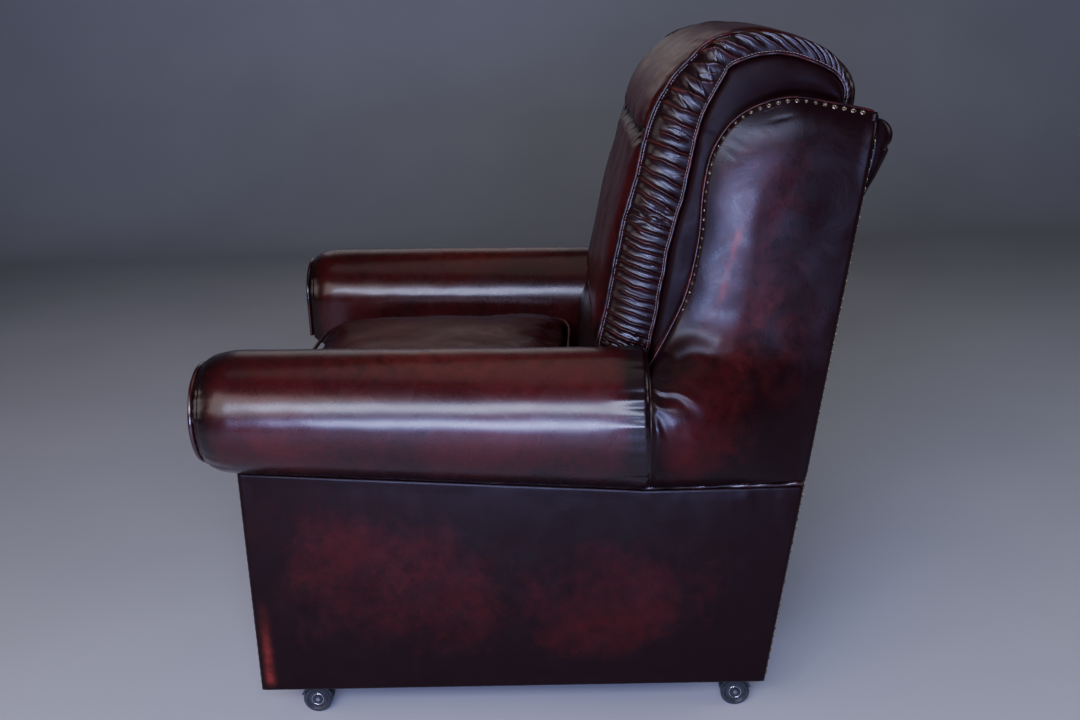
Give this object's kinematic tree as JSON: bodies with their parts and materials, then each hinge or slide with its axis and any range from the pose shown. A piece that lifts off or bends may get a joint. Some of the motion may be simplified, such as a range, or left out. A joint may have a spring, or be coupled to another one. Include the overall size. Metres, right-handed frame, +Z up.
{
  "type": "upholstered armchair",
  "caption": "Low leather armchair with scroll arms, raked high back with a pleated border and head roll, loose seat cushion, nailed edges and hidden casters.",
  "frame": {"origin": "on the floor under the middle of the chair's overall box", "axes": "+Z up, the chair faces -Y, +X is the sitter's left"},
  "size_m": [0.9238, 0.96, 1.0104],
  "materials": {
    "padded_leather": "burnished, semi-gloss, hand-rubbed dark red over black",
    "panel_leather": "smooth, semi-gloss, hand-rubbed dark red over black",
    "piping_leather": "smooth, dark, worn along its crown",
    "antique_brass": "antiqued, domed",
    "wood": "planed, unfinished hardwood",
    "steel": "plain",
    "webbing": "woven jute",
    "black_cloth": "thin woven cover cloth",
    "foam": "cut foam and wadding",
    "wheel_plastic": "moulded, glossy",
    "body_plastic": "moulded, matt"
  },
  "bodies": {
    "chair": {"side_frame_left": "wood", "side_frame_right": "wood", "front_rail": "wood", "back_rail": "wood", "lumbar_rail": "wood", "top_rail": "wood", "corner_blocks": "wood", "seat_springs": "steel", "spring_clips": "steel", "back_webbing": "webbing", "deck_cloth": "black_cloth", "arm_roll_left": "padded_leather", "arm_roll_right": "padded_leather", "arm_facing_left": "padded_leather", "arm_facing_right": "padded_leather", "facing_piping_left": "piping_leather", "facing_piping_right": "piping_leather", "side_panel_left": "panel_leather", "side_panel_right": "panel_leather", "side_piping_left": "piping_leather", "side_piping_right": "piping_leather", "wing_left": "padded_leather", "wing_right": "padded_leather", "wing_rim_left": "piping_leather", "wing_rim_right": "piping_leather", "wing_nails": "antique_brass", "rear_nails": "antique_brass", "front_nails": "antique_brass", "outside_back": "panel_leather", "back_roll": "padded_leather", "front_border": "panel_leather", "pad_core": "foam", "pad_front": "padded_leather", "pad_lower": "panel_leather", "pleated_border_left": "padded_leather", "pleated_border_right": "padded_leather", "pad_side_left": "panel_leather", "pad_side_right": "panel_leather", "pad_piping_front": "piping_leather", "pad_piping_rear": "piping_leather", "pad_buttons": "piping_leather", "dust_cover": "black_cloth", "caster_sockets": "steel"},
    "cushion": {"seat_cushion": "padded_leather"},
    "caster_fl": {"caster_body_fl": "body_plastic", "axle_fl": "steel"},
    "wheels_fl": {"wheels_fl": "wheel_plastic"},
    "caster_fr": {"caster_body_fr": "body_plastic", "axle_fr": "steel"},
    "wheels_fr": {"wheels_fr": "wheel_plastic"},
    "caster_rl": {"caster_body_rl": "body_plastic", "axle_rl": "steel"},
    "wheels_rl": {"wheels_rl": "wheel_plastic"},
    "caster_rr": {"caster_body_rr": "body_plastic", "axle_rr": "steel"},
    "wheels_rr": {"wheels_rr": "wheel_plastic"}
  },
  "joints": [
    {"name": "cushion_lift", "type": "slide", "parent": "chair", "child": "cushion", "axis": [0, 0, 1], "range_m": [0, 0.12]},
    {"name": "swivel_fl", "type": "hinge", "parent": "chair", "child": "caster_fl", "pos_m": [0.324, -0.38204, 0.068], "axis": [0, 0, 1], "continuous": true},
    {"name": "roll_fl", "type": "hinge", "parent": "caster_fl", "child": "wheels_fl", "pos_m": [0.324, -0.36504, 0.022], "axis": [1, 0, 0], "continuous": true},
    {"name": "swivel_fr", "type": "hinge", "parent": "chair", "child": "caster_fr", "pos_m": [-0.324, -0.38204, 0.068], "axis": [0, 0, 1], "continuous": true},
    {"name": "roll_fr", "type": "hinge", "parent": "caster_fr", "child": "wheels_fr", "pos_m": [-0.324, -0.36504, 0.022], "axis": [1, 0, 0], "continuous": true},
    {"name": "swivel_rl", "type": "hinge", "parent": "chair", "child": "caster_rl", "pos_m": [0.324, 0.26496, 0.068], "axis": [0, 0, 1], "continuous": true},
    {"name": "roll_rl", "type": "hinge", "parent": "caster_rl", "child": "wheels_rl", "pos_m": [0.324, 0.28196, 0.022], "axis": [1, 0, 0], "continuous": true},
    {"name": "swivel_rr", "type": "hinge", "parent": "chair", "child": "caster_rr", "pos_m": [-0.324, 0.26496, 0.068], "axis": [0, 0, 1], "continuous": true},
    {"name": "roll_rr", "type": "hinge", "parent": "caster_rr", "child": "wheels_rr", "pos_m": [-0.324, 0.28196, 0.022], "axis": [1, 0, 0], "continuous": true}
  ]
}
